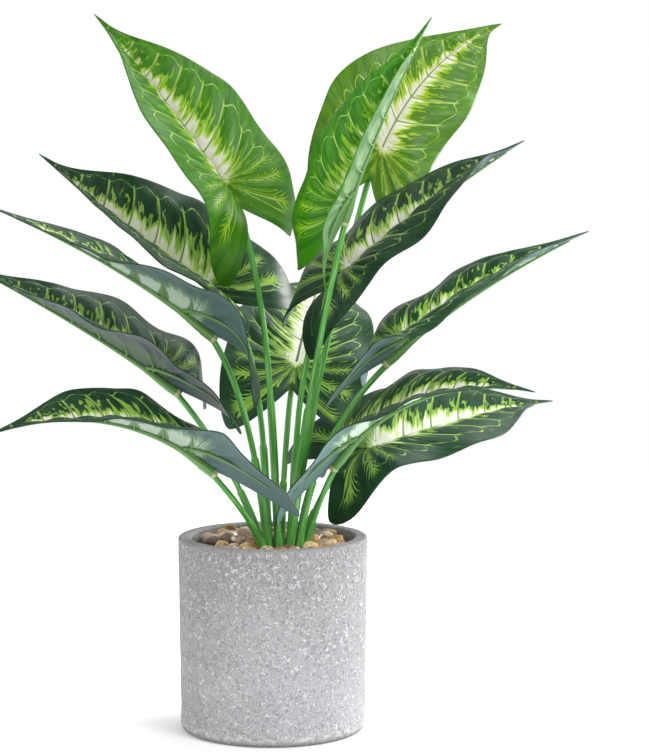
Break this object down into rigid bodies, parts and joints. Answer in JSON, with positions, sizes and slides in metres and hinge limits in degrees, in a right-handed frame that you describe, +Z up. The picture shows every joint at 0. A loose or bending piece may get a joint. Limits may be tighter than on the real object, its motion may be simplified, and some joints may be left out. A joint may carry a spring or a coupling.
{
  "type": "potted dieffenbachia",
  "caption": "Artificial dieffenbachia with long arrow-shaped variegated leaves on thin stems, standing in a round cast cement pot filled with pebbles.",
  "frame": {"origin": "centre of the pot's flat foot, on the surface that it stands on", "axes": "+Z up along the pot's axis, -Y towards the side that shows best, +X to its right"},
  "size_m": [0.3734, 0.2409, 0.4332],
  "materials": {
    "light_leaf": "printed polyester cloth, satin, waved edge",
    "dark_leaf": "printed polyester cloth, satin, waved edge",
    "leaf_rib": "moulded polyethylene, semi-matt",
    "stem": "moulded polyethylene with lengthwise ridges",
    "cement": "cast cement with a crackled, crusted skin",
    "filler": "rigid foam",
    "pebble": "tumbled natural pebbles glued into a bed"
  },
  "bodies": {
    "root": {"leaf_01_blade": "light_leaf", "leaf_01_rib": "leaf_rib", "stem_01": "stem", "leaf_02_blade": "light_leaf", "leaf_02_rib": "leaf_rib", "stem_02": "stem", "leaf_03_blade": "light_leaf", "leaf_03_rib": "leaf_rib", "stem_03": "stem", "leaf_04_blade": "dark_leaf", "leaf_04_rib": "leaf_rib", "stem_04": "stem", "leaf_05_blade": "dark_leaf", "leaf_05_rib": "leaf_rib", "stem_05": "stem", "leaf_06_blade": "dark_leaf", "leaf_06_rib": "leaf_rib", "stem_06": "stem", "leaf_07_blade": "dark_leaf", "leaf_07_rib": "leaf_rib", "stem_07": "stem", "leaf_08_blade": "dark_leaf", "leaf_08_rib": "leaf_rib", "stem_08": "stem", "leaf_09_blade": "dark_leaf", "leaf_09_rib": "leaf_rib", "stem_09": "stem", "leaf_10_blade": "dark_leaf", "leaf_10_rib": "leaf_rib", "stem_10": "stem", "leaf_11_blade": "dark_leaf", "leaf_11_rib": "leaf_rib", "stem_11": "stem", "leaf_12_blade": "dark_leaf", "leaf_12_rib": "leaf_rib", "stem_12": "stem", "stem_sleeve_stub": "stem", "pot": "cement", "filler_block": "filler", "pebbles": "pebble"}
  },
  "joints": []
}
